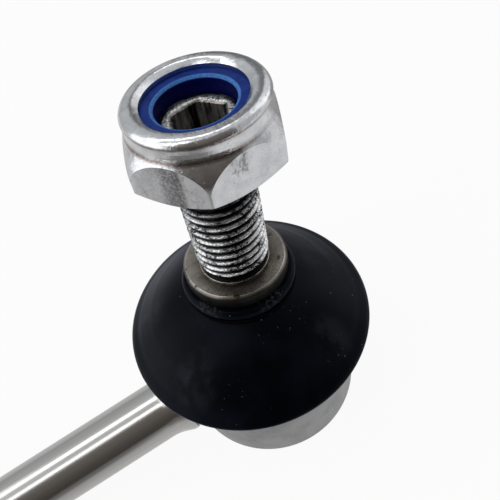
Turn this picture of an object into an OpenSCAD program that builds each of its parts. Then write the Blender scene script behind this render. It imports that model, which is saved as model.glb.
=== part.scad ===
// Stabilizer link: a straight rod with a sealed ball joint at each end.
// Millimetres, +Z up. The origin is the middle of the near housing's foot.
// The rod runs along -X to the far housing.

/* [Link] */
// Distance between the two housing axes
link_l = 260; // [160:1:400]
// Diameter of the rod
rod_d = 9.6; // [9:0.1:11]
// Height of the rod's axis over the foot
rod_z = 9.3; // [8:0.1:10]
// Diameter of the upset at each end of the rod
upset_d = 11.4; // [11.2:0.1:13]
// Length of the upset's straight part
upset_l = 0.8; // [0.5:0.1:3]
// Length over which the rod widens to its upset
upset_taper = 2.6; // [1:0.1:6]
// Width of the weld between the rod's square end and the housing
weld_gap = 0.7; // [0.4:0.05:1.5]
// Diameter of the weld
weld_d = 9.2; // [7:0.1:9.6]

/* [Housing] */
// Outer diameter of the can
housing_d = 28.9; // [28:0.1:34]
// Height of the can from foot to mouth
housing_h = 20.2; // [20:0.1:22]
// Thickness of the can's wall
housing_wall = 3.2; // [2.8:0.1:4]
// Height of the rolled edge under the closing cap
edge_h = 0.8; // [0.5:0.05:1.2]
// Width of the rolled edge inside the bore
edge_w = 0.8; // [0.4:0.05:1.5]
// Thickness of the closing cap
cap_t = 1.8; // [1.2:0.1:2]
// Diameter of the boss pressed into the closing cap, level with the foot
cap_boss_d = 13; // [8:0.5:18]

/* [Ball and seat] */
// Diameter of the ball
ball_d = 15; // [14:0.1:15.6]
// Height of the ball's middle over the foot
ball_z = 11.5; // [11:0.1:12]
// Play between ball and seat
ball_play = 0.05; // [0.02:0.01:0.1]
// Furthest swing of the stud to each side, in degrees
swing = 22; // [15:1:24]

/* [Lean] */
// Lean of the near stud, in degrees
near_lean = 8; // [0:0.5:10]
// Direction in which the near stud leans, in degrees from +X
near_dir = 24; // [0:1:359]
// Lean of the far stud, in degrees
far_lean = 0; // [0:0.5:10]
// Direction in which the far stud leans, in degrees from +X
far_dir = 0; // [0:1:359]

/* [Stud] */
// Diameter of the neck over the ball
neck_d = 8.6; // [7.5:0.1:9]
// Diameter of the land under the boot's lip
land_d = 11.2; // [10.5:0.1:12]
// Diameter of the wrench collar
collar_d = 14.5; // [14:0.1:18]
// Thickness of the wrench collar
collar_t = 2.3; // [1.8:0.1:3]
// Height of the collar's face over the ball's middle
collar_z = 22.3; // [22:0.1:25]
// Bevel on the collar's edges
collar_bevel = 0.37; // [0.2:0.01:0.6]
// Diameter over the thread's crests
thread_d = 9.9; // [9.8:0.02:10]
// Diameter of the relief under the thread
relief_d = 8.7; // [8:0.1:9]
// Length of the relief under the thread
relief_l = 1.2; // [1:0.1:3]
// Length of the stud over the collar's face
stud_l = 23.3; // [22.5:0.1:24]
// Bevel at the end of the thread
stud_bevel = 0.8; // [0.4:0.05:1.2]
// Hex socket in the stud's end, across flats
socket_af = 6; // [5:0.5:6]
// Depth of the hex socket
socket_depth = 5; // [3:0.5:8]
// Turn of the hex socket about the stud's axis
socket_turn = 7; // [0:1:59]

/* [Lock nut] */
// Width of the nut across flats
nut_af = 17; // [16:0.5:19]
// Height of the nut with its crown
nut_h = 8.6; // [8.4:0.1:10]
// Height of the nut's foot over the collar's face
nut_z = 18; // [17.5:0.1:18.5]
// Turn of the nut about the stud's axis
nut_turn = 8; // [0:0.5:59.5]
// Play between the nut's bore and the thread's crests
nut_play = 0.07; // [0.03:0.01:0.1]
// Diameter of the opening inside the crimped lip
crimp_d = 12; // [11.6:0.1:12.4]
// Depth of the nylon insert's top under the crown
crimp_t = 1; // [0.9:0.05:1.2]
// Bore of the nylon insert
insert_bore = 9.2; // [9.1:0.05:9.4]
// Height of the nylon insert
insert_h = 2.5; // [2.2:0.1:2.6]
// Play round the nylon insert
insert_play = 0.05; // [0.02:0.01:0.1]

/* [Boot] */
// Diameter of the boot's rim
boot_d = 36.6; // [36:0.1:40]
// Height of the boot's rim over the foot
boot_rim_z = 20.7; // [20.3:0.1:21.5]
// Thickness of the rubber
boot_wall = 1.5; // [1.2:0.1:1.7]
// Diameter of the bead at the boot's neck
bead_d = 16.1; // [15.8:0.1:18]
// Diameter of the waist under the bead
waist_d = 14.8; // [14.4:0.1:15.2]
// Clearance between the boot and the metal
boot_gap = 0.15; // [0.12:0.01:0.2]
// Wire of the lower clamp ring
lower_wire = 1.2; // [0.8:0.1:1.2]
// Wire of the upper clamp ring
upper_wire = 0.8; // [0.6:0.05:0.9]

/* [Hidden] */
$fn = 96;
far_x = -link_l;
overrun = 1;
black = [0.06, 0.06, 0.07];
steel = [0.72, 0.73, 0.74];

// Can
housing_r = housing_d / 2;
bore_r = housing_r - housing_wall;
cap_top = edge_h + cap_t;
cap_bevel = 0.3;
mouth_h = 3.2;
seat_top = housing_h - mouth_h;
mouth_r = 9.8;
mouth_throat_r = 8.4;
foot_bevel = 0.4;
groove_depth = 2.05;
groove_r = housing_r - groove_depth;
groove_h = 1.8;
flange_h = 1.8;
flange_w = 0.6;
groove_z = housing_h - flange_h - groove_h;
flange_r = groove_r + flange_w;
flange_bevel = 0.4;

// Ball, neck and shank, heights over the ball's middle
ball_r = ball_d / 2;
ball_flat = 0.5;
neck_r = neck_d / 2;
land_r = land_d / 2;
land_z = 12.5;
neck_top = 9.5;
neck_gap = 0.35;
seat_cone_r = neck_r / cos(swing) + neck_gap;
collar_r = collar_d / 2;
collar_foot = collar_z - collar_t;
root_r = 4.85;
root_h = 0.25;
relief_r = relief_d / 2;
thread_r = thread_d / 2;
lead_step = 0.25;
lead_r = thread_r - lead_step;
lead_gap = 0.3;
lead_z = nut_z - lead_gap;
stud_top = collar_z + stud_l;
socket_r = socket_af / 2 / cos(30);

// Lock nut, heights over its own foot
nut_corner_r = nut_af / 2 / cos(30);
nut_bore_r = thread_r + nut_play;
nut_foot = collar_z + nut_z;
nut_skin = 0.01;
nut_chamfer_r = 0.97 * nut_af / 2;
nut_chamfer_h = 0.95;
corner_top = 0.32 * nut_h;
crown_foot = 0.65 * nut_h;
shoulder_step = 0.05;
shoulder_r = nut_af / 2 - shoulder_step;
shoulder_power = 1.6;
shoulder_steps = 8;
crown_step = 0.2;
crown_r = nut_af / 2 - crown_step;
bead_round_r = 1;
lip_drop = 0.8;
crimp_r = crimp_d / 2;
crimp_overlap = 0.95;
insert_top = nut_h - crimp_t;
insert_z = insert_top - insert_h;
insert_r = crimp_r + crimp_overlap;
insert_bevel = 0.35;
countersink = 0.5;

// Boot, heights over the foot
bead_top = ball_z + collar_foot - boot_gap;
bead_r = bead_d / 2;
bead_h = 1.1;
bead_bevel = 0.4;
waist_r = waist_d / 2;
waist_z = bead_top - bead_h - 1.5 * bead_bevel;
wire_room = 0.1;
flank_z = waist_z - upper_wire - wire_room;
rim_r = boot_d / 2;
rim_round = 0.4;
rim_rise = 0.75;
rim_drop = 1.1;
rim_fold = 1.9;
rim_share = 0.5;
lip_in_r = land_r + boot_gap;
foot_in_r = groove_r + boot_gap;
foot_wall = 1.1;
foot_dip = 0.3;
foot_r = groove_r + foot_wall;
foot_low = groove_z + boot_gap;
foot_high = groove_z + groove_h - boot_gap;
skirt_wall = 1.25;
skirt_in_r = flange_r + 2 * boot_gap;
skirt_r = skirt_in_r + skirt_wall;
lower_wire_z = (foot_low + foot_high) / 2;
upper_wire_z = (waist_z + flank_z) / 2 - ball_z;
boot_sides = 48;
flank_steps = 10;

// Height of the flank at a share t of its width: hollow by the neck, rounded at the rim
function flank_drop(t) = 0.62 * t + 0.38 * t * t * (3 - 2 * t) * t;

// Outer flank from waist to rim as [radius, height, share of the lean]
flank = [
    for (i = [0 : flank_steps])
        let (t = i / flank_steps)
        [
            waist_r + (rim_r - rim_round - waist_r) * t,
            flank_z - (flank_z - boot_rim_z - rim_rise) * flank_drop(t),
            1 - (1 - rim_share) * t
        ]
];

// Inner flank, one wall below the outer one
flank_in = [
    for (i = [flank_steps - 1 : -1 : 1])
        let (p = flank[i])
        [p[0] - 0.62 * boot_wall, p[1] - 0.85 * boot_wall, p[2]]
];

boot_profile = concat(
    [
        [lip_in_r, bead_top, 1],
        [bead_r - bead_bevel, bead_top, 1],
        [bead_r, bead_top - bead_bevel, 1],
        [bead_r, bead_top - bead_h, 1],
        [waist_r, waist_z, 1]
    ],
    flank,
    [
        [rim_r, boot_rim_z + rim_round / 2, rim_share],
        [rim_r, boot_rim_z - rim_round / 2, rim_share],
        [rim_r - rim_round, boot_rim_z - 1.5 * rim_round, rim_share],
        [(rim_r + skirt_r) / 2, boot_rim_z - rim_drop, rim_share / 2],
        [skirt_r, groove_z + groove_h + flange_bevel, 0],
        [foot_r, foot_high, 0],
        [foot_r - foot_dip, lower_wire_z, 0],
        [foot_r, foot_low, 0],
        [foot_in_r, foot_low, 0],
        [foot_in_r, foot_high, 0],
        [skirt_in_r, foot_high, 0],
        [skirt_in_r, housing_h + boot_gap, 0],
        [(rim_r + skirt_in_r) / 2 - rim_round, boot_rim_z + rim_round / 2, rim_share / 2],
        [rim_r - rim_fold, boot_rim_z + rim_round, rim_share]
    ],
    flank_in,
    [[lip_in_r, flank_z - foot_wall / 2, 1]]
);

// Turn a point about the ball's middle by an angle towards a direction
function leaned(q, angle, dir) =
    let (
        along = q.x * cos(dir) + q.y * sin(dir),
        across = q.y * cos(dir) - q.x * sin(dir),
        swung = along * cos(angle) + q.z * sin(angle)
    )
    [
        swung * cos(dir) - across * sin(dir),
        swung * sin(dir) + across * cos(dir),
        q.z * cos(angle) - along * sin(angle)
    ];

stud_profile = [
    [0, 0],
    [neck_r, 0],
    [neck_r, neck_top],
    [land_r, land_z],
    [land_r, collar_foot],
    [collar_r - collar_bevel, collar_foot],
    [collar_r, collar_foot + collar_bevel],
    [collar_r, collar_z - collar_bevel],
    [collar_r - collar_bevel, collar_z],
    [root_r, collar_z],
    [relief_r, collar_z + root_h],
    [relief_r, collar_z + relief_l],
    [thread_r, collar_z + relief_l + thread_r - relief_r],
    [thread_r, collar_z + lead_z],
    [lead_r, collar_z + lead_z],
    [lead_r, stud_top - stud_bevel],
    [lead_r - stud_bevel, stud_top],
    [0, stud_top]
];

// Hex corners rounded over to the crown, whose upper edge is rolled in over the nylon
nut_profile = concat(
    [
        [0, 0],
        [nut_chamfer_r, 0],
        [nut_corner_r + nut_skin, nut_chamfer_h]
    ],
    [
        for (i = [0 : shoulder_steps])
            let (h = i / shoulder_steps)
            [
                shoulder_r + (nut_corner_r + nut_skin - shoulder_r) * (1 - pow(h, shoulder_power)),
                corner_top + h * (crown_foot - corner_top)
            ]
    ],
    [
        for (a = [0 : 15 : 90])
            [crown_r - bead_round_r * (1 - cos(a)), nut_h - bead_round_r * (1 - sin(a))]
    ],
    [
        [crimp_r, nut_h - lip_drop],
        [0, nut_h - lip_drop]
    ]
);

// Children stand in the stud's own frame, with the ball's middle as its origin
module stud_frame(x, lean, dir) {
    translate([x, 0, ball_z])
        rotate([0, 0, dir])
            rotate([0, lean, 0])
                rotate([0, 0, -dir])
                    children();
}

module can() {
    rotate_extrude()
        polygon([
            [bore_r - edge_w, 0],
            [housing_r - foot_bevel, 0],
            [housing_r, foot_bevel],
            [housing_r, groove_z - foot_bevel],
            [housing_r - foot_bevel, groove_z],
            [groove_r, groove_z],
            [groove_r, groove_z + groove_h],
            [flange_r, groove_z + groove_h],
            [flange_r, housing_h - flange_bevel],
            [flange_r - flange_bevel, housing_h],
            [mouth_r, housing_h],
            [mouth_throat_r, seat_top],
            [bore_r, seat_top],
            [bore_r, edge_h],
            [bore_r - edge_w, edge_h]
        ]);
}

module cap() {
    rotate_extrude()
        polygon([
            [0, 0],
            [cap_boss_d / 2 - edge_h, 0],
            [cap_boss_d / 2, edge_h],
            [bore_r - cap_bevel, edge_h],
            [bore_r, edge_h + cap_bevel],
            [bore_r, cap_top],
            [0, cap_top]
        ]);
}

module seat() {
    difference() {
        translate([0, 0, cap_top])
            cylinder(h = seat_top - cap_top, r = bore_r);
        translate([0, 0, ball_z])
            sphere(r = ball_r + ball_play);
        translate([0, 0, ball_z])
            cylinder(
                h = seat_top - ball_z + overrun,
                r1 = seat_cone_r,
                r2 = seat_cone_r + (seat_top - ball_z + overrun) * tan(swing)
            );
    }
}

module stud() {
    difference() {
        union() {
            sphere(r = ball_r);
            rotate_extrude()
                polygon(stud_profile);
        }
        translate([0, 0, -ball_r - overrun])
            cylinder(h = ball_flat + overrun, r = ball_r);
        translate([0, 0, stud_top - socket_depth])
            rotate([0, 0, socket_turn])
                cylinder(h = socket_depth + overrun, r = socket_r, $fn = 6);
    }
}

// Rubber skin whose rings lean more and more from foot to neck
module boot(x, lean, dir) {
    rings = len(boot_profile);
    points = [
        for (p = boot_profile)
            for (j = [0 : boot_sides - 1])
                let (a = 360 * j / boot_sides)
                leaned([p[0] * cos(a), p[0] * sin(a), p[1] - ball_z], p[2] * lean, dir)
    ];
    faces = [
        for (i = [0 : rings - 1])
            for (j = [0 : boot_sides - 1])
                let (
                    a = i * boot_sides + j,
                    b = i * boot_sides + (j + 1) % boot_sides,
                    c = ((i + 1) % rings) * boot_sides + (j + 1) % boot_sides,
                    d = ((i + 1) % rings) * boot_sides + j
                )
                for (f = [[a, b, c], [a, c, d]])
                    f
    ];
    translate([x, 0, ball_z])
        polyhedron(points = points, faces = faces, convexity = 6);
}

module lower_ring() {
    translate([0, 0, lower_wire_z])
        rotate_extrude()
            translate([foot_r + boot_gap + lower_wire / 2, 0])
                circle(d = lower_wire, $fn = 32);
}

module upper_ring() {
    translate([0, 0, upper_wire_z])
        rotate_extrude()
            translate([waist_r + boot_gap + upper_wire / 2, 0])
                circle(d = upper_wire, $fn = 32);
}

module nut() {
    translate([0, 0, nut_foot])
        difference() {
            intersection() {
                rotate([0, 0, nut_turn])
                    cylinder(h = nut_h, r = nut_corner_r, $fn = 6);
                rotate_extrude()
                    polygon(nut_profile);
            }
            translate([0, 0, -overrun])
                cylinder(h = insert_z + 2 * overrun, r = nut_bore_r);
            translate([0, 0, insert_z])
                cylinder(h = insert_h, r = insert_r);
            translate([0, 0, insert_top - overrun])
                cylinder(h = crimp_t + 2 * overrun, r = crimp_r);
            translate([0, 0, -overrun])
                cylinder(
                    h = overrun + countersink,
                    r1 = nut_bore_r + overrun + countersink,
                    r2 = nut_bore_r
                );
        }
}

module insert() {
    translate([0, 0, nut_foot])
        rotate_extrude()
            polygon([
                [insert_bore / 2, insert_z + insert_play],
                [insert_r - insert_play, insert_z + insert_play],
                [insert_r - insert_play, insert_top - insert_play],
                [insert_bore / 2 + insert_bevel, insert_top - insert_play],
                [insert_bore / 2, insert_top - insert_play - insert_bevel]
            ]);
}

// Weld between the rod's square end and the can, towards the rod
module weld(x, side) {
    difference() {
        translate([x, 0, rod_z])
            rotate([0, side * 90, 0])
                cylinder(h = housing_r + weld_gap, d = weld_d);
        translate([x, 0, 0])
            cylinder(h = housing_h, r = housing_r);
    }
}

module link_rod() {
    start = housing_r + weld_gap;
    span = link_l - 2 * start;
    color(steel)
        translate([-start, 0, rod_z])
            rotate([0, -90, 0])
                rotate_extrude()
                    polygon([
                        [0, 0],
                        [upset_d / 2, 0],
                        [upset_d / 2, upset_l],
                        [rod_d / 2, upset_l + upset_taper],
                        [rod_d / 2, span - upset_l - upset_taper],
                        [upset_d / 2, span - upset_l],
                        [upset_d / 2, span],
                        [0, span]
                    ]);
}

module near_weld() {
    color([0.5, 0.5, 0.5])
        weld(0, -1);
}

module far_weld() {
    color([0.5, 0.5, 0.5])
        weld(far_x, 1);
}

module near_housing() {
    color([0.55, 0.56, 0.57])
        can();
}

module far_housing() {
    color([0.55, 0.56, 0.57])
        translate([far_x, 0, 0])
            can();
}

module near_cap() {
    color([0.5, 0.5, 0.52])
        cap();
}

module far_cap() {
    color([0.5, 0.5, 0.52])
        translate([far_x, 0, 0])
            cap();
}

module near_seat() {
    color([0.9, 0.9, 0.86])
        seat();
}

module far_seat() {
    color([0.9, 0.9, 0.86])
        translate([far_x, 0, 0])
            seat();
}

module near_stud() {
    color([0.45, 0.44, 0.4])
        stud_frame(0, near_lean, near_dir)
            stud();
}

module far_stud() {
    color([0.45, 0.44, 0.4])
        stud_frame(far_x, far_lean, far_dir)
            stud();
}

module near_boot() {
    color(black)
        boot(0, near_lean, near_dir);
}

module far_boot() {
    color(black)
        boot(far_x, far_lean, far_dir);
}

module near_lower_ring() {
    color(black)
        lower_ring();
}

module far_lower_ring() {
    color(black)
        translate([far_x, 0, 0])
            lower_ring();
}

module near_upper_ring() {
    color(black)
        stud_frame(0, near_lean, near_dir)
            upper_ring();
}

module far_upper_ring() {
    color(black)
        stud_frame(far_x, far_lean, far_dir)
            upper_ring();
}

module near_nut() {
    color(steel)
        stud_frame(0, near_lean, near_dir)
            nut();
}

module far_nut() {
    color(steel)
        stud_frame(far_x, far_lean, far_dir)
            nut();
}

module near_insert() {
    color([0.14, 0.24, 0.55])
        stud_frame(0, near_lean, near_dir)
            insert();
}

module far_insert() {
    color([0.14, 0.24, 0.55])
        stud_frame(far_x, far_lean, far_dir)
            insert();
}

link_rod();
near_weld();
far_weld();
near_housing();
far_housing();
near_cap();
far_cap();
near_seat();
far_seat();
near_stud();
far_stud();
near_boot();
far_boot();
near_lower_ring();
far_lower_ring();
near_upper_ring();
far_upper_ring();
near_nut();
far_nut();
near_insert();
far_insert();
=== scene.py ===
"""Finished surfaces, studio and camera for a stabilizer link with two sealed ball joints."""
import logging
import math
from dataclasses import dataclass, field
from enum import Enum
from typing import Any, Sequence

import bpy
import numpy as np
from mathutils import Matrix, Vector


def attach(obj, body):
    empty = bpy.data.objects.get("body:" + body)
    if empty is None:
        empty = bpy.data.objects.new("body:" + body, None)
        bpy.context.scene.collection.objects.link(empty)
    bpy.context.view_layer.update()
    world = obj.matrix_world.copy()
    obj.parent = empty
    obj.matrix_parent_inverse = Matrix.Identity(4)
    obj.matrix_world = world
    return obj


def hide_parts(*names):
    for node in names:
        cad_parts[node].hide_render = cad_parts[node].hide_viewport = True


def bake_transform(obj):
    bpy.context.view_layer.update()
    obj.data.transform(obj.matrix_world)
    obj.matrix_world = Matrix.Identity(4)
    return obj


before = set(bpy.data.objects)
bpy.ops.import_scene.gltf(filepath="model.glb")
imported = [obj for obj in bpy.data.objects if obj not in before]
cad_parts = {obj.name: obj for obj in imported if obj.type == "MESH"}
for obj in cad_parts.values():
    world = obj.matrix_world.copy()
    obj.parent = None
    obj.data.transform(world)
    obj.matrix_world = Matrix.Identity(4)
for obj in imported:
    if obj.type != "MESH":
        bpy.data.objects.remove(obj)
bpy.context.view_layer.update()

log = logging.getLogger("stabilizer_link")
MM = 0.001  # metres in a millimetre
BALL_Z = 11.5  # the ball's middle over the housing's foot, in mm
HOUSING_R = 14.45  # radius of the can, in mm
Array = np.ndarray
Triple = tuple[float, float, float]
Colour = Triple


class End(Enum):
    """The link's ends: name, housing axis in mm, lean and its heading in degrees, side of the rod."""

    NEAR = ("near", 0.0, 8.0, 24.0, -1.0)
    FAR = ("far", -260.0, 0.0, 0.0, 1.0)

    def __init__(self, label: str, axis_x: float, lean: float, heading: float, side: float) -> None:
        """Keep the end's own values."""
        self.label, self.axis_x, self.lean, self.heading, self.side = label, axis_x, lean, heading, side


def around(columns: int) -> Array:
    """Evenly spaced angles round an axis, in radians."""
    return np.linspace(0, 2 * np.pi, columns, endpoint=False)


def arc(centre: Sequence[float], radius: float, start: float, stop: float, count: int) -> Array:
    """Points on a circle in the (radius, height) plane.

    Args:
        centre: Middle of the circle, in mm.
        radius: Radius of the circle, in mm.
        start: First angle in degrees from the outward direction.
        stop: Last angle in degrees.
        count: Number of points.

    Returns:
        Array of count rows, each a radius and a height.
    """
    angle = np.radians(np.linspace(start, stop, count))
    return np.stack([centre[0] + radius * np.cos(angle), centre[1] + radius * np.sin(angle)], axis=-1)


def rounded(corners: Array, radii: Sequence[float], steps: int = 5) -> Array:
    """Round a closed profile's corners.

    Each corner is cut back on both sides by radius / tan(half its angle), at most by 0.48 of a side, and
    the two cuts are joined by the quadratic curve whose middle handle is the corner. A radius of 0 keeps
    the corner as one point.

    Args:
        corners: Corners with radius and height first, in the last axis but one.
        radii: Radius for each corner, in mm.
        steps: Points on each rounded corner.

    Returns:
        The profile's points, in the last axis but one.
    """
    radius = np.asarray(radii, float)
    before = np.roll(corners, 1, axis=-2) - corners
    after = np.roll(corners, -1, axis=-2) - corners
    back = np.maximum(np.linalg.norm(before[..., :2], axis=-1, keepdims=True), 1e-9)
    ahead = np.maximum(np.linalg.norm(after[..., :2], axis=-1, keepdims=True), 1e-9)
    turn = np.sum((before / back)[..., :2] * (after / ahead)[..., :2], axis=-1, keepdims=True)
    half = 0.5 * np.arccos(np.clip(turn, -0.9999, 0.9999))
    cut = np.minimum(radius[:, None] / np.tan(half), 0.48 * np.minimum(back, ahead))
    t = np.linspace(0.0, 1.0, steps)[:, None]
    first = (corners + before / back * cut)[..., None, :]
    last = (corners + after / ahead * cut)[..., None, :]
    curve = (1 - t) ** 2 * first + 2 * t * (1 - t) * corners[..., None, :] + t**2 * last
    kept = ((radius > 0)[:, None] | (np.arange(steps) == 0)[None, :]).ravel()
    return curve.reshape(*corners.shape[:-2], -1, corners.shape[-1])[..., kept, :]


def hexagon(angle: Array, across: float, corner: float, crisp: float = 60.0) -> Array:
    """Radius of a hexagon with slightly rounded corners.

    The radius is half the width across flats over the p-norm of the cosines between the angle and the six
    flats' directions, so a large power gives a crisp corner.

    Args:
        angle: Angles round the axis, in radians.
        across: Width across flats, in mm.
        corner: Direction of one corner, in degrees.
        crisp: Power of the norm.

    Returns:
        The radius at each angle, in mm.
    """
    flats = np.radians(corner + 30.0 + 60.0 * np.arange(6))
    cosines = np.maximum(np.cos(angle[..., None] - flats), 1e-6)
    return across / 2 / np.sum(cosines**crisp, axis=-1) ** (1 / crisp)


def tilted(points: Array, angle: Array | float, heading: float) -> Array:
    """Turn points about the origin, the top towards a heading.

    Args:
        points: Points with x, y and z in the last axis.
        angle: Lean in degrees, one number or one for each point.
        heading: Direction of the lean, in degrees from +X.

    Returns:
        The turned points.
    """
    a, h = np.radians(angle), math.radians(heading)
    along = points[..., 0] * math.cos(h) + points[..., 1] * math.sin(h)
    across = points[..., 1] * math.cos(h) - points[..., 0] * math.sin(h)
    swung = along * np.cos(a) + points[..., 2] * np.sin(a)
    x, y = swung * math.cos(h) - across * math.sin(h), swung * math.sin(h) + across * math.cos(h)
    return np.stack([x, y, points[..., 2] * np.cos(a) - along * np.sin(a)], axis=-1)


@dataclass
class Skin:
    """A surface on a grid whose columns close round an axis.

    Attributes:
        grid: Rows by columns by x, y, z in mm, in the piece's own frame.
        ring: True if the last row joins the first, else fans close both end rows.
        marks: Numbers for each grid point, kept as attributes of the mesh.
    """

    grid: Array
    ring: bool = False
    marks: dict[str, Array] = field(default_factory=dict)

    @classmethod
    def turned(cls, profile: Array, columns: int, ring: bool = False) -> "Skin":
        """Carry a profile round the Z axis: x = r cos a, y = r sin a, z = height.

        Args:
            profile: Rows of radius and height, with the material on the left of the path.
            columns: Number of columns round the axis.
            ring: True for a profile that closes on itself.

        Returns:
            The surface.
        """
        radius, height = (np.repeat(column[:, None], columns, axis=1) for column in profile.T)
        return cls.shaped(radius, height, around(columns), ring)

    @classmethod
    def shaped(cls, radius: Array, height: Array, angle: Array, ring: bool = False) -> "Skin":
        """Place each grid point at its own radius and height over an angle.

        Args:
            radius: Rows by columns of radii, in mm.
            height: Rows by columns of heights, in mm.
            angle: Angle of each column, in radians.
            ring: True for rows that close on themselves.

        Returns:
            The surface.
        """
        return cls(np.stack([radius * np.cos(angle), radius * np.sin(angle), height], axis=-1), ring)

    def cells(self) -> list[list[int]]:
        """Four-cornered faces between neighbouring grid points, and a fan at each open end.

        Returns:
            The points of each face.
        """
        rows, columns = self.grid.shape[:2]
        index = np.arange(rows * columns).reshape(rows, columns)
        low = index if self.ring else index[:-1]
        high = np.roll(index, -1, axis=0) if self.ring else index[1:]
        quads = np.stack([low, np.roll(low, -1, 1), np.roll(high, -1, 1), high], axis=-1).reshape(-1, 4)
        if self.ring:
            return quads.tolist()
        foot, top = index[0], index[-1]
        pole = np.full(columns, rows * columns)
        fans = np.concatenate([
            np.stack([pole, np.roll(foot, -1), foot], axis=-1),
            np.stack([pole + 1, top, np.roll(top, -1)], axis=-1),
        ])
        return quads.tolist() + fans.tolist()

    def flat(self, values: Array) -> Array:
        """Grid values in the order of the mesh's points, with each fan's middle at the end.

        Args:
            values: One value or vector for each grid point.

        Returns:
            One row for each point of the mesh.
        """
        rows = values.reshape(-1, *values.shape[2:])
        if self.ring:
            return rows
        return np.concatenate([rows, values[:1].mean(axis=1), values[-1:].mean(axis=1)])

    def mesh(self, name: str, placed: Array, crease: float = 40.0) -> bpy.types.Object:
        """Make the object.

        Args:
            name: Name of the object.
            placed: The grid moved to its place in the link's frame, in mm.
            crease: Angle in degrees past which an edge stays sharp.

        Returns:
            The object, at the origin.
        """
        data = bpy.data.meshes.new(name)
        data.from_pydata((self.flat(placed) * MM).tolist(), [], self.cells())
        local = data.attributes.new("local", "FLOAT_VECTOR", "POINT")
        local.data.foreach_set("vector", self.flat(self.grid).astype(np.float32).ravel())
        for mark, values in self.marks.items():
            kept = data.attributes.new(mark, "FLOAT", "POINT")
            kept.data.foreach_set("value", self.flat(values).astype(np.float32).ravel())
        data.shade_smooth()
        data.set_sharp_from_angle(angle=math.radians(crease))
        data.update()
        piece = bpy.data.objects.new(name, data)
        bpy.context.scene.collection.objects.link(piece)
        return piece


class Value:
    """A shader socket that joins in sums and products as a number does."""

    def __init__(self, paint: "Paint", socket: bpy.types.NodeSocket) -> None:
        """Wrap an output socket of a paint's tree."""
        self.paint = paint
        self.socket = socket

    def _with(self, operation: str, first: Any, second: Any) -> "Value":
        """Add the Math node of an operation on two values."""
        return self.paint.node("ShaderNodeMath", {"operation": operation}, {0: first, 1: second})

    def __add__(self, other: Any) -> "Value":
        """Sum."""
        return self._with("ADD", self, other)

    __radd__ = __add__

    def __sub__(self, other: Any) -> "Value":
        """Difference."""
        return self._with("SUBTRACT", self, other)

    def __rsub__(self, other: Any) -> "Value":
        """Difference from a number."""
        return self._with("SUBTRACT", other, self)

    def __mul__(self, other: Any) -> "Value":
        """Product."""
        return self._with("MULTIPLY", self, other)

    __rmul__ = __mul__

    def step(self, low: float, high: float) -> "Value":
        """Smooth change from 0 at low to 1 at high."""
        settings = {"interpolation_type": "SMOOTHSTEP", "clamp": True}
        return self.paint.node("ShaderNodeMapRange", settings, {0: self, 1: low, 2: high})


class Paint:
    """The node tree of one material or world."""

    def __init__(self, name: str, owner: bpy.types.World | None = None) -> None:
        """Start an empty tree, of a new material or of a world.

        Args:
            name: Name of the new material.
            owner: A world that takes the material's place.
        """
        self.material = owner or bpy.data.materials.new(name)
        self.material.use_nodes = True
        self.tree = self.material.node_tree
        self.tree.nodes.clear()

    def node(
        self,
        kind: str,
        settings: dict[str, Any] | None = None,
        inputs: dict[int | str, Any] | None = None,
        output: int | str = 0,
    ) -> Value:
        """Add any node.

        Args:
            kind: Blender's name of the node type.
            settings: Properties set first.
            inputs: Values or links of the node's sockets, by name or number.
            output: The socket to give back.

        Returns:
            The chosen output.
        """
        made = self.tree.nodes.new(kind)
        for key, value in (settings or {}).items():
            setattr(made, key, value)
        for key, value in (inputs or {}).items():
            socket = made.inputs[key]
            if isinstance(value, Value):
                self.tree.links.new(value.socket, socket)
            elif isinstance(value, tuple) and socket.type == "RGBA":
                socket.default_value = (*value, 1.0)
            else:
                socket.default_value = value
        return Value(self, made.outputs[output]) if made.outputs else Value(self, made.inputs[0])

    def local(self, stretch: Sequence[float] = (1.0, 1.0, 1.0)) -> Value:
        """Place on the piece in its own frame, in mm, stretched along each axis."""
        place = self.node("ShaderNodeAttribute", {"attribute_name": "local"}, output="Vector")
        return self.node("ShaderNodeVectorMath", {"operation": "MULTIPLY"}, {0: place, 1: tuple(stretch)})

    def mark(self, name: str) -> Value:
        """A number that the mesh keeps for each of its points."""
        return self.node("ShaderNodeAttribute", {"attribute_name": name}, output="Fac")

    def noise(self, place: Value, scale: float, detail: float = 3.0, rough: float = 0.55) -> Value:
        """Soft cloudy value about 0.5, with scale waves in a millimetre."""
        inputs = {"Vector": place, "Scale": scale, "Detail": detail, "Roughness": rough}
        return self.node("ShaderNodeTexNoise", {"noise_dimensions": "3D"}, inputs)

    def cells(self, place: Value, scale: float) -> Value:
        """Distance to the nearest of scattered points."""
        return self.node("ShaderNodeTexVoronoi", {}, {"Vector": place, "Scale": scale}, "Distance")

    def parts(self, place: Value) -> tuple[Value, Value, Value]:
        """The x, y and z of a vector."""
        split = self.node("ShaderNodeSeparateXYZ", {}, {0: place})
        return tuple(Value(self, output) for output in split.socket.node.outputs)

    def mix(self, share: Any, first: Any, second: Any) -> Value:
        """Colour between two, by a share."""
        return self.node("ShaderNodeMix", {"data_type": "RGBA"}, {0: share, 6: first, 7: second}, 2)

    def bump(self, height: Value, depth: float) -> Value:
        """Normal tilted by a height that spans a depth in mm."""
        inputs = {"Height": height, "Strength": 1.0, "Distance": depth * MM}
        return self.node("ShaderNodeBump", {}, inputs, "Normal")

    def finish(self, **sockets: Any) -> bpy.types.Material:
        """End the tree with a Principled shader whose sockets take these values.

        Args:
            sockets: Socket names with underscores for spaces.

        Returns:
            The material.
        """
        named = {key.replace("_", " "): value for key, value in sockets.items()}
        shader = self.node("ShaderNodeBsdfPrincipled", {}, named)
        self.node("ShaderNodeOutputMaterial", {}, {"Surface": shader})
        return self.material


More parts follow.
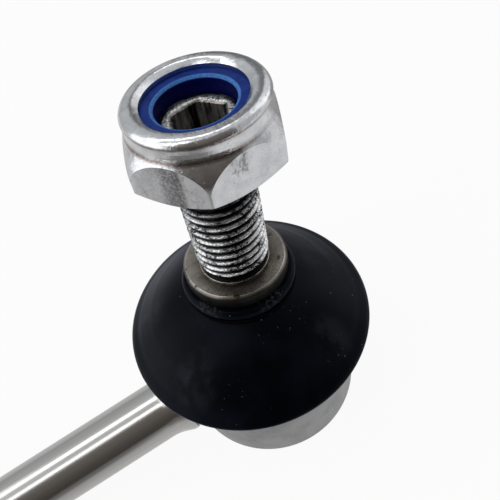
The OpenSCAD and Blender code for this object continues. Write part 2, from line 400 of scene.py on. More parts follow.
@dataclass(frozen=True)
class ZincNut:
    """Bright zinc over pressed steel: satin flats with pits and smudges, mirror-like turned faces."""

    pale: Colour = (0.58, 0.585, 0.60)
    grey: Colour = (0.485, 0.49, 0.51)
    pit: Colour = (0.07, 0.07, 0.072)
    brown: Colour = (0.15, 0.115, 0.10)
    stain_and_reflection_at: float = 223.0

    def material(self) -> bpy.types.Material:
        """Make the material; a speckled stain runs up one flat, where the spanner sat, and a wider painted
        darker reflection lies over that flat.

        Returns:
            The material.
        """
        p = Paint("zinc_nut")
        place = p.local()
        flat = p.mark("flat")
        x, y, _ = p.parts(place)
        way = math.radians(self.stain_and_reflection_at)
        along, across = x * math.cos(way) + y * math.sin(way), y * math.cos(way) - x * math.sin(way)
        band = across.step(-2.2, -0.6) * across.step(1.5, 0.7) * along.step(0.0, 1.0) * flat
        cloud = p.noise(place, 0.7, 4.0)
        grain = p.noise(place, 3.2, 5.0, 0.65)
        smudge = p.noise(p.local((1.0, 1.0, 0.45)), 0.55, 6.0, 0.72).step(0.54, 0.64)
        pits = p.cells(place, 1.9).step(0.13, 0.03) * grain.step(0.48, 0.60)
        base = p.mix(cloud.step(0.35, 0.7), self.pale, self.grey)
        speckle = grain.step(0.3, 0.6)
        fine = p.noise(place, 5.5, 4.0, 0.7).step(0.54, 0.70)
        base = p.mix(smudge * (flat * 0.6 + 0.08) * speckle + pits * 0.6, base, self.pit)
        base = p.mix(fine * (flat * 0.28 + 0.10), base, self.pit)
        base = p.mix(band * (0.22 + speckle * 0.48), base, self.pit)
        # Painted reflection: a wider speckled darkening over the same flat stands in for a darker reflection
        # there.
        painted_reflection = across.step(-6.5, -2.0) * across.step(1.5, 0.7) * along.step(0.0, 1.0) * flat
        base = p.mix(painted_reflection * speckle * 0.24, base, self.pit)
        # Painted reflection: brown bands in the neck's creases, strongest on one side, stand in for brownish
        # reflections.
        base = p.mix(p.mark("crease") * (0.6 + speckle * 0.4), base, self.brown)
        scuff = p.noise(p.local((1.4, 1.4, 0.5)), 1.6, 5.0, 0.7)
        rough = flat * 0.16 + 0.08 + grain * 0.12 + cloud * 0.06
        dents = p.cells(place, 1.3).step(0.12, 0.04) * p.noise(place, 0.9, 2.0).step(0.5, 0.6)
        wavy = cloud * (1.5 - flat * 1.2)
        normal = p.bump(grain * (flat * 0.45 + 0.14) + scuff * 0.35 + wavy - pits - dents * 1.5, 0.05)
        return p.finish(Base_Color=base, Metallic=1.0, Roughness=rough, Normal=normal)


@dataclass(frozen=True)
class StudSteel:
    """Stud: rolled thread with bright crests over a brown-grey phosphate; painted shade blackens grooves,
    relief and collar side.
    """

    bright: Colour = (0.68, 0.68, 0.69)
    # Near black: painted shade in the grooves, relief, socket, collar side and near the nut, and dark specks
    # on the end.
    groove: Colour = (0.006, 0.006, 0.007)
    phosphate: Colour = (0.112, 0.101, 0.084)
    stain: Colour = (0.040, 0.034, 0.027)
    fleck: Colour = (0.11, 0.098, 0.080)
    # Colour of the bright edge line: partly bared metal, partly a painted highlight.
    edge: Colour = (0.64, 0.60, 0.55)
    end: Colour = (0.74, 0.74, 0.73)
    wall: Colour = (0.37, 0.35, 0.32)
    shaded_side_z: tuple[float, float] = (22.25, 21.95)
    end_z: tuple[float, float] = (45.4, 45.55)
    # Heights over which the thread darkens towards the nut, as painted shade.
    nut_shade_z: tuple[float, float] = (33.0, 37.0)

    def material(self) -> bpy.types.Material:
        """Make the material.

        Returns:
            The material.
        """
        p = Paint("stud_steel")
        place = p.local()
        thread, depth, wear_and_glint = p.mark("thread"), p.mark("groove"), p.mark("edge")
        socket, relief_shade = p.mark("socket"), p.mark("relief_shade")
        grain = p.noise(place, 3.8, 6.0, 0.75)
        cloud = p.noise(place, 0.55, 5.0, 0.65)
        height = p.parts(place)[2]
        dull = p.mix(cloud.step(0.40, 0.64), self.phosphate, self.stain)
        # Painted shade: below the collar's top edge, its bevel, its side and all below go almost black.
        dull = p.mix(height.step(*self.shaded_side_z) * 0.85, dull, self.groove)
        dull = p.mix(grain.step(0.56, 0.72) * 0.25, dull, self.fleck)
        # A bright line along the collar's upper edge and the root step: partly bared metal, partly a painted
        # highlight.
        dull = p.mix(wear_and_glint * p.noise(place, 0.9, 2.0).step(0.30, 0.42), dull, self.edge)
        ended = height.step(*self.end_z) * (1 - socket)
        pepper = p.mix(grain.step(0.40, 0.54), self.groove, self.end)
        dull = p.mix(ended, dull, pepper)
        # Painted shade: the relief between the collar and the thread goes almost black.
        dull = p.mix(relief_shade * 0.9, dull, self.groove)
        # The socket's walls streak between near black and grey: partly painted shade inside the socket,
        # partly streaks.
        scored = p.noise(p.local((1.5, 1.5, 0.2)), 1.0, 4.0)
        walls = p.mix(scored.step(0.38, 0.62), self.groove, self.wall)
        dull = p.mix(socket, dull, walls)
        # Painted shade: the thread's grooves go near black with their depth.
        shade = depth.step(0.24, 0.64)
        patch = p.noise(p.local((1.0, 1.0, 1.5)), 0.40, 4.0, 0.6).step(0.44, 0.58)
        # Painted shade: the thread darkens towards the nut, standing in for the nut's dark underside mirrored
        # in the crests.
        nut_shade = height.step(*self.nut_shade_z)
        speck = grain.step(0.42, 0.58)
        rolled = p.mix(speck * (patch * 0.35 + 0.50) + patch * 0.36, self.bright, self.groove)
        rolled = p.mix(nut_shade * (0.68 + patch * 0.29), rolled, self.groove)
        rolled = p.mix(shade * 0.97, rolled, self.groove)
        base = p.mix(thread, dull, rolled)
        rough = 0.20 + cloud * 0.14 - thread * (0.15 - grain * 0.20) + ended * 0.2
        normal = p.bump(grain * (0.14 + thread * 0.7 + ended), 0.05)
        return p.finish(
            Base_Color=base,
            Metallic=0.92 + thread * 0.08 - socket * 0.35,
            Roughness=rough,
            Specular_IOR_Level=0.2,
            Normal=normal,
        )


@dataclass(frozen=True)
class BootRubber:
    """Black rubber, faintly blue, with a dry sheen and specks of dust."""

    deep: Colour = (0.0007, 0.0008, 0.0014)
    wear_and_glint: Colour = (0.0026, 0.0034, 0.0062)
    painted_sheen: Colour = (0.021, 0.0225, 0.029)
    dust: Colour = (0.26, 0.26, 0.26)
    bead_z: tuple[float, float] = (18.3, 18.8)
    sheen_spots: tuple[Triple, ...] = ((-11.9, -8.0, 4.0), (7.1, -12.7, 3.6), (11.5, 0.8, 5.0), (-13.0, 5.5, 3.5))
    rubbed: tuple[Triple, ...] = ((1.6, -7.8, 2.8), (-6.8, -4.0, 2.4))
    dusty: tuple[Triple, ...] = ((7.1, -14.5, 3.2), (-0.6, -8.6, 2.6), (3.2, -9.4, 2.2), (-8.8, -12.6, 3.4))

    def spots(self, x: Value, y: Value, places: Sequence[Triple]) -> Value:
        """Soft round patches.

        Args:
            x: Place along X.
            y: Place along Y.
            places: X, Y and radius of each patch.

        Returns:
            Sum of the patches, each falling from 1 at its middle to 0 at its radius.
        """
        return sum(((x - a) * (x - a) + (y - b) * (y - b)).step(r * r, 0.0) for a, b, r in places)

    def material(self) -> bpy.types.Material:
        """Make the material; painted sheen and dust gather in a few soft patches.

        Returns:
            The material.
        """
        p = Paint("boot_rubber")
        place = p.local()
        x, y, height = p.parts(place)
        cloud = p.noise(place, 0.11, 4.0)
        grain = p.noise(place, 5.0, 3.0)
        dusty = self.spots(x, y, self.dusty)
        sparse = p.cells(place, 0.75).step(0.06, 0.035) * p.noise(place, 0.5, 1.0).step(0.50, 0.56)
        fine = p.cells(place, 2.1).step(0.15, 0.07) * p.noise(place, 1.1, 2.0).step(0.50, 0.58) * dusty
        bead = height.step(*self.bead_z) * self.spots(x, y, self.rubbed)
        scuff = p.noise(place, 2.8, 5.0, 0.75).step(0.50, 0.60) * bead
        specks = sparse + fine * 0.7 + scuff * 0.20
        sheen_noise = p.noise(p.local((1.0, 1.0, 0.6)), 0.34, 4.0, 0.6).step(0.36, 0.64)
        base = p.mix(cloud.step(0.46, 0.68), self.deep, self.wear_and_glint)
        # Painted sheen: paler blue-grey patches stand in for soft light on the rubber.
        base = p.mix(self.spots(x, y, self.sheen_spots) * sheen_noise * 0.5, base, self.painted_sheen)
        base = p.mix(specks, base, self.dust)
        rough = 0.25 + cloud * 0.12 + grain * 0.05
        normal = p.bump(grain + specks * 0.5, 0.012)
        return p.finish(
            Base_Color=base,
            Roughness=rough,
            Specular_IOR_Level=0.048,
            Specular_Tint=(0.68, 0.77, 1.0),
            Sheen_Weight=0.13,
            Sheen_Roughness=0.4,
            Sheen_Tint=(0.48, 0.58, 1.0),
            Normal=normal,
        )


@dataclass(frozen=True)
class RodSteel:
    """Drawn and polished bar with fine marks along its length."""

    pale: Colour = (0.445, 0.44, 0.43)
    grey: Colour = (0.40, 0.395, 0.38)
    nick: Colour = (0.16, 0.15, 0.14)

    def material(self) -> bpy.types.Material:
        """Make the material.

        Returns:
            The material.
        """
        p = Paint("rod_steel")
        drawn = p.noise(p.local((0.05, 3.0, 3.0)), 1.0, 4.0)
        cloud = p.noise(p.local(), 0.25, 3.0)
        nicks = p.cells(p.local(), 0.5).step(0.06, 0.02) * cloud.step(0.52, 0.6)
        base = p.mix(drawn.step(0.35, 0.7), self.pale, self.grey)
        base = p.mix(nicks * 0.6, base, self.nick)
        rough = 0.13 + drawn * 0.12
        normal = p.bump(drawn * 0.4 - nicks, 0.012)
        return p.finish(Base_Color=base, Metallic=1.0, Roughness=rough, Normal=normal)


@dataclass(frozen=True)
class HousingSteel:
    """Satin silver-grey can with faint turning marks and a few scratches."""

    pale: Colour = (0.272, 0.274, 0.274)
    grey: Colour = (0.236, 0.238, 0.238)
    scratch: Colour = (0.12, 0.12, 0.12)

    def material(self) -> bpy.types.Material:
        """Make the material.

        Returns:
            The material.
        """
        p = Paint("housing_steel")
        turned = p.noise(p.local((0.12, 0.12, 4.0)), 1.0, 4.0)
        cloud = p.noise(p.local(), 0.3, 4.0)
        lines = p.noise(p.local((1.0, 1.0, 0.10)), 1.1, 2.0, 0.4)
        scored = lines.step(0.488, 0.5) * lines.step(0.512, 0.5) * cloud.step(0.50, 0.57)
        base = p.mix(cloud.step(0.35, 0.65), self.pale, self.grey)
        base = p.mix(scored, base, self.scratch)
        rough = 0.44 + turned * 0.12 + cloud * 0.06
        normal = p.bump(turned * 0.4 - scored, 0.02)
        return p.finish(Base_Color=base, Metallic=1.0, Roughness=rough, Normal=normal)


@dataclass(frozen=True)
class InsertNylon:
    """Royal-blue nylon, paler where the bore is bevelled, and painted darker in the bore as shade."""

    body: Colour = (0.0148, 0.046, 0.265)
    bevel: Colour = (0.085, 0.255, 0.66)
    bore: Colour = (0.0014, 0.0030, 0.074)

    def material(self) -> bpy.types.Material:
        """Make the material.

        Returns:
            The material.
        """
        p = Paint("insert_nylon")
        cloud = p.noise(p.local(), 0.9, 3.0)
        grain = p.noise(p.local(), 6.0, 3.0)
        base = p.mix(cloud.step(0.3, 0.75) * 0.35, self.body, self.bore)
        # Painted shade: the bore inside the nut is darker blue.
        base = p.mix(p.mark("bore"), base, self.bore)
        base = p.mix(p.mark("bevel") * (0.35 + grain.step(0.34, 0.56) * 0.7), base, self.bevel)
        rough, normal = 0.36 + grain * 0.15, p.bump(grain, 0.012)
        return p.finish(Base_Color=base, Roughness=rough, Specular_IOR_Level=0.06, Normal=normal)


@dataclass(frozen=True)
class PlainSteel:
    """Plain steel for pieces that hide between others: cap, weld and clamp rings.

    Attributes:
        name: Name of the material.
        pale: Colour of clean metal.
        grey: Colour of stained metal.
        rough: Lowest roughness.
        grain: Waves of the grain in a millimetre along each axis.
        bare: Share of bare metal, the rest being near-black non-metal.
    """

    name: str
    pale: Colour
    grey: Colour
    rough: float
    grain: Triple
    bare: float = 1.0

    def material(self) -> bpy.types.Material:
        """Make the material.

        Returns:
            The material.
        """
        p = Paint(self.name)
        grain = p.noise(p.local(self.grain), 1.0, 4.0)
        cloud = p.noise(p.local(), 0.4, 4.0)
        base = p.mix(cloud.step(0.35, 0.65), self.pale, self.grey)
        normal = p.bump(grain, 0.02)
        return p.finish(
            Base_Color=base,
            Metallic=self.bare,
            Roughness=self.rough + grain * 0.2,
            Specular_IOR_Level=0.5 * self.bare,
            Normal=normal,
        )


@dataclass(frozen=True)
class SeatPlastic:
    """Off-white bearing plastic with a greased, slightly mottled face."""

    body: Colour = (0.72, 0.70, 0.62)
    grease: Colour = (0.55, 0.50, 0.36)

    def material(self) -> bpy.types.Material:
        """Make the material.

        Returns:
            The material.
        """
        p = Paint("seat_plastic")
        cloud = p.noise(p.local(), 0.5, 4.0)
        grain = p.noise(p.local(), 5.0, 2.0)
        base = p.mix(cloud.step(0.45, 0.7), self.body, self.grease)
        return p.finish(Base_Color=base, Roughness=0.3 + cloud * 0.2, Normal=p.bump(grain, 0.01))


class Finishes:
    """The link's materials, each made once and kept under its slot in the record."""

    def __init__(self) -> None:
        """Make every material."""
        finishes = {
            "nut_steel": ZincNut(),
            "stud_steel": StudSteel(),
            "boot_rubber": BootRubber(),
            "rod_steel": RodSteel(),
            "housing_steel": HousingSteel(),
            "insert_nylon": InsertNylon(),
            "seat_plastic": SeatPlastic(),
            "cap_steel": PlainSteel("cap_steel", (0.42, 0.42, 0.43), (0.3, 0.3, 0.31), 0.3, (0.3, 3.0, 1.0)),
            "weld_steel": PlainSteel("weld_steel", (0.30, 0.29, 0.28), (0.2, 0.19, 0.18), 0.4, (1.0,) * 3),
            # The clamp rings are near black as painted shade, so they sink into the shade of their grooves.
            "ring_steel": PlainSteel("ring_steel", (0.003,) * 3, (0.002,) * 3, 0.5, (2.0,) * 3, 0.02),
        }
        self.looks = {slot: finish.material() for slot, finish in finishes.items()}


class Fitter:
    """Names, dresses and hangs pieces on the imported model's bodies."""

    def __init__(self, finishes: Finishes) -> None:
        """Keep the materials."""
        self.finishes = finishes

    def on_stud(self, grid: Array, end: End) -> Array:
        """Move a grid from the stud's frame to the link's."""
        return tilted(grid, end.lean, end.heading) + np.array([end.axis_x, 0.0, BALL_Z])

    def on_can(self, grid: Array, end: End) -> Array:
        """Move a grid from the housing's frame to the link's."""
        return grid + np.array([end.axis_x, 0.0, 0.0])

    def add(
        self, skin: Skin, placed: Array, name: str, node: str, slot: str,
        body: str | None, crease: float = 40.0,
    ) -> bpy.types.Object:
        """Mesh a surface, dress it and let it stand for a solid.

        Args:
            skin: The surface.
            placed: Its grid moved to its place in the link's frame, in mm.
            name: Name of the piece.
            node: The solid that it replaces.
            slot: The record's material slot.
            body: The body that it rides on, or None for one that rides on no body.
            crease: Angle in degrees past which an edge stays sharp.

        Returns:
            The piece.
        """
        piece = skin.mesh(name, placed, crease)
        piece.data.materials.append(self.finishes.looks[slot])
        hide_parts(node)
        if body is not None:
            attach(piece, body)
        log.info("%s: %d faces", piece.name, len(piece.data.polygons))
        return piece


@dataclass
class LinkRod:
    """The bar between the housings, with an upset at each square end and its welds. Sizes in mm."""

    length: float = 260.0
    diameter: float = 9.6
    axis_z: float = 9.3
    upset_d: float = 11.4
    upset_l: float = 0.8
    taper: float = 2.6
    margin: float = 8.0
    rows: int = 12
    roundings: tuple[float, ...] = (0.0, 0.25, 0.9, 6.0)
    weld_gap: float = 0.7
    weld_d: float = 9.2
    weld_bead: float = 0.10
    ripple: float = 0.4
    ripples: int = 23
    columns: int = 96

    def rod(self) -> Skin:
        """Bar with its upset ends.

        The profile of upset, taper and bar goes round the rod's axis: along X, r sin a across, r cos a up.

        Returns:
            The surface, in the link's frame.
        """
        start = HOUSING_R + self.weld_gap
        span = self.length - 2 * start
        thin, thick = self.diameter / 2, self.upset_d / 2
        shoulder = self.upset_l + self.taper
        middle = np.linspace(shoulder + self.margin, span - shoulder - self.margin, self.rows)
        half = [[0.0, 0.0], [thick, 0.0], [thick, self.upset_l], [thin, shoulder]]
        bar = np.stack([np.full(self.rows, thin), middle], axis=-1)
        corners = np.concatenate([half, bar, [[r, span - s] for r, s in reversed(half)]])
        radii = [*self.roundings, *[0.0] * self.rows, *reversed(self.roundings)]
        skin = Skin.turned(rounded(corners, radii, 7)[1:-1], self.columns)
        across, up, along = skin.grid[..., 1], skin.grid[..., 0], skin.grid[..., 2]
        skin.grid = np.stack([-start - along, across, up + self.axis_z], axis=-1)
        return skin

    def weld(self, end: End) -> Skin:
        """Short collar from the can's wall to the rod's end.

        The inner rows lie on the can, x = sqrt(R R - y y), and the outer ones swell by a sine into a bead.

        Args:
            end: The end of the link.

        Returns:
            The surface, in the housing's frame.
        """
        angle = around(self.columns)
        share = np.array([0.5, 1.0, 1.0, 1.0, 1.0, 1.0, 1.0, 0.5])[:, None]
        run = np.array([0.0, 0.0, 0.15, 0.35, 0.6, 0.85, 1.0, 1.0])[:, None]
        swell = self.weld_bead * np.sin(np.pi * run) * (1 + self.ripple * np.sin(self.ripples * angle))
        radius = share * self.weld_d / 2 + swell * (share == 1.0)
        across, up = radius * np.sin(angle), radius * np.cos(angle)
        inner = np.sqrt(HOUSING_R**2 - across**2)
        along = inner + (HOUSING_R + self.weld_gap - inner) * run
        return Skin(np.stack([end.side * along, -end.side * across, up + self.axis_z], axis=-1))

    def build(self, fitter: Fitter) -> None:
        """Make the rod and both welds, and hang them on the link.

        Args:
            fitter: Dresses the pieces.
        """
        rod = self.rod()
        fitter.add(rod, rod.grid, "rod_bar", "link_rod", "rod_steel", "link")
        for end in End:
            bead = self.weld(end)
            placed = fitter.on_can(bead.grid, end)
            fitter.add(bead, placed, f"{end.label}_weld_bead", f"{end.label}_weld", "weld_steel", "link")


@dataclass
class BallHousing:
    """Can with its rolled edge and boot groove, closing cap and ball seat. Sizes in mm over the foot."""

    height: float = 20.2
    wall: float = 3.2
    edge: float = 0.8
    cap_top: float = 2.6
    cap_bevel: float = 0.3
    boss_r: float = 6.5
    foot_bevel: float = 0.4
    groove_z: float = 16.6
    groove_h: float = 1.8
    groove_depth: float = 2.05
    flange_w: float = 0.6
    mouth_h: float = 3.2
    mouth_r: float = 9.8
    throat_r: float = 8.4
    ball_r: float = 7.55
    cone_r: float = 4.988
    swing: float = 22.0
    seat_ledge: float = 4.0
    cup_end: float = -86.0

    def can(self) -> Skin:
        """Rounded can profile carried round the housing's axis.

        Returns:
            The surface, in the housing's frame.
        """
        bore, groove = HOUSING_R - self.wall, HOUSING_R - self.groove_depth
        flange, top = groove + self.flange_w, self.height - self.mouth_h
        low, high = self.groove_z, self.groove_z + self.groove_h
        wide, bevel, edge = HOUSING_R, self.foot_bevel, self.edge
        corners = np.array([
            [bore - edge, 0.0], [wide - bevel, 0.0], [wide, bevel], [wide, low - bevel], [wide - bevel, low],
            [groove, low], [groove, high], [flange, high], [flange, self.height], [self.mouth_r, self.height],
            [self.throat_r, top], [bore, top], [bore, edge], [bore - edge, edge],
        ])
        radii = [0.3, 0.3, 0.3, 0.4, 0.2, 0.2, 0.2, 0.15, 0.4, 0.3, 0.1, 0.05, 0.05, 0.15]
        return Skin.turned(rounded(corners, radii), 144, ring=True)

    def cap(self) -> Skin:
        """Closing cap: flush boss, sloped step, flat and rim carried round the axis.

        Returns:
            The surface, in the housing's frame.
        """
        bore, bevel, edge = HOUSING_R - self.wall, self.cap_bevel, self.edge
        corners = np.array([
            [0.0, 0.0], [self.boss_r - edge, 0.0], [self.boss_r, edge], [bore - bevel, edge],
            [bore, edge + bevel], [bore, self.cap_top], [0.0, self.cap_top],
        ])
        return Skin.turned(rounded(corners, [0.0, 0.4, 0.4, 0.1, 0.1, 0.1, 0.0])[1:-1], 96)

    def seat(self) -> Skin:
        """Bearing block round the ball: cylinder outside, cone mouth and spherical cup inside.

        Returns:
            The surface, in the housing's frame.
        """
        bore, top = HOUSING_R - self.wall, self.height - self.mouth_h
        slope = math.tan(math.radians(self.swing))
        a, b, c = 1 + slope**2, self.cone_r * slope, self.cone_r**2 - self.ball_r**2
        lip = (-b + math.sqrt(b * b - a * c)) / a
        lip_angle = math.degrees(math.asin(lip / self.ball_r))
        cup = arc((0.0, BALL_Z), self.ball_r, lip_angle, self.cup_end, 28)
        cone = [self.cone_r + (top - BALL_Z) * slope, top]
        outside = np.array([[bore - self.seat_ledge, self.cap_top], [bore, self.cap_top], [bore, top], cone])
        return Skin.turned(np.concatenate([outside, cup]), 96)

    def build(self, end: End, fitter: Fitter) -> None:
        """Make can, cap and seat of one end.

        Args:
            end: The end of the link.
            fitter: Dresses the pieces.
        """
        for skin, name, node, slot in (
            (self.can(), "housing_can", "housing", "housing_steel"),
            (self.cap(), "closing_cap", "cap", "cap_steel"),
            (self.seat(), "ball_seat", "seat", "seat_plastic"),
        ):
            placed = fitter.on_can(skin.grid, end)
            fitter.add(skin, placed, f"{end.label}_{name}", f"{end.label}_{node}", slot, "link")


@dataclass
class BallStud:
    """Ball, neck, land, collar and threaded shank with a hex socket. Sizes in mm over the ball's middle."""

    ball_r: float = 7.5
    ball_flat: float = 0.5
    neck_r: float = 4.3
    neck_top: float = 9.5
    land_r: float = 5.6
    land_z: float = 12.5
    collar_r: float = 7.25
    collar_foot: float = 20.0
    collar_z: float = 22.3
    collar_bevel: float = 0.37
    root_r: float = 4.85
    root_h: float = 0.25
    relief_r: float = 4.35
    relief_l: float = 1.2
    thread_r: float = 4.95
    pitch: float = 1.25
    depth: float = 0.70
    crest: float = 0.11
    flank: float = 0.56
    rounding: float = 0.35
    runin: float = 1.1
    top: float = 45.6
    bevel: float = 0.8
    rim: float = 0.04
    socket_af: float = 6.0
    socket_depth: float = 5.0
    socket_turn: float = 7.0
    wear_and_glint: float = 0.04
    columns: int = 144

    def shank(self) -> Array:
        """Profile from the ball's flat up to the thread's run-in.

        Returns:
            Rows of radius and height.
        """
        low = math.degrees(math.asin((self.ball_flat - self.ball_r) / self.ball_r))
        high = math.degrees(math.acos(self.neck_r / self.ball_r))
        ball = arc((0.0, 0.0), self.ball_r, low, high - 1.5, 30)
        wide, bevel, step = self.collar_r, self.collar_bevel, self.collar_z + self.root_h
        corners = np.array([
            [self.neck_r, math.sqrt(self.ball_r**2 - self.neck_r**2)], [self.neck_r, self.neck_top],
            [self.land_r, self.land_z], [self.land_r, self.collar_foot], [wide - bevel, self.collar_foot],
            [wide, self.collar_foot + bevel], [wide, self.collar_z - bevel], [wide - bevel, self.collar_z],
            [self.root_r, self.collar_z], [self.root_r, step], [self.relief_r, step],
            [self.relief_r, self.collar_z + self.relief_l],
        ])
        radii = [0.6, 3.0, 1.5, 0.3, 0.05, 0.1, 0.07, 0.07, 0.04, 0.06, 0.1, 0.0]
        return np.concatenate([ball, rounded(corners, radii)])

    def skin(self) -> Skin:
        """One closed surface from ball to socket.

        Over the shank the radius follows the profile. On the thread it is the crest less a depth that
        follows the phase z / pitch - a / (2 pi): level at the crest, sloped at both sides, level at the
        root. Cones at both ends cap it. In the socket the radius is a hexagon's.

        Returns:
            The surface, in the stud's frame.
        """
        angle = around(self.columns)[None, :]
        lower = self.shank()
        foot = self.collar_z + self.relief_l
        z = np.arange(foot + 0.05, self.top - self.rim, self.pitch / 16)[:, None]
        phase = (z / self.pitch - angle / (2 * np.pi)) % 1.0
        ramp = np.clip((np.abs(2 * phase - 1) - self.crest) / self.flank, 0, 1)
        groove = ramp * ramp * (3 - 2 * ramp) * self.rounding + ramp * (1 - self.rounding)
        crest = np.minimum(self.thread_r - self.depth * groove, self.relief_r + self.runin * (z - foot))
        crest = np.minimum(crest, self.thread_r - self.bevel + (self.top - z))
        rim = np.full((1, self.columns), self.thread_r - self.bevel - self.rim)
        sink = np.array([0.35, 0.0, 0.0, 0.0, 0.0, 0.0, -0.15, -0.9])[:, None]
        wall = hexagon(angle, self.socket_af, self.socket_turn) + sink
        walls, floor = np.array([0.0, 0.25, 1.2, 2.4, 3.6]), np.array([0.2, 0.0, -0.3])
        down = np.concatenate([self.top - walls, self.top - self.socket_depth + floor])[:, None]
        radius = np.concatenate([np.repeat(lower[:, :1], self.columns, 1), crest, rim, wall])
        height = np.concatenate([lower[:, 1:2], z, [[self.top]], down]) * np.ones((1, self.columns))
        skin = Skin.shaped(radius, height, angle[0])
        ends, whole = (len(lower), 1 + len(down)), (0, 0)
        skin.marks["thread"] = np.pad(np.ones_like(groove), (ends, whole))
        inside = np.ones((len(down) - 1, self.columns))
        skin.marks["socket"] = np.pad(inside, ((len(radius) - len(inside), 0), whole))
        skin.marks["groove"] = np.pad(groove, (ends, whole))
        # Mark the relief between the collar and the thread, which the material darkens as painted shade.
        in_relief = (height > self.collar_z + self.root_h - 0.02) & (height < foot + 0.35)
        skin.marks["relief_shade"] = (in_relief & (radius < self.root_r - 0.1)).astype(float)
        skin.marks["edge"] = self.edges(radius, height)
        return skin

    def edges(self, radius: Array, height: Array) -> Array:
        """Where a bright line runs along the collar's upper edge and the root step: partly bared metal,
        partly a painted highlight.

        Args:
            radius: Radius of each grid point.
            height: Height of each grid point.

        Returns:
            1 on the edge, 0 a little away.
        """
        inner = np.hypot(radius - self.collar_r + self.collar_bevel, height - self.collar_z)
        step = np.hypot(radius - self.root_r, height - self.collar_z - self.root_h)
        return np.clip(1 - np.minimum(inner, 0.5 * step) / self.wear_and_glint, 0, 1)

    def build(self, end: End, fitter: Fitter) -> None:
        """Make the stud of one end.

        Args:
            end: The end of the link.
            fitter: Dresses the piece.
        """
        skin, name = self.skin(), f"{end.label}_ball_stud"
        fitter.add(skin, fitter.on_stud(skin.grid, end), name, f"{end.label}_stud", "stud_steel", name, 50.0)


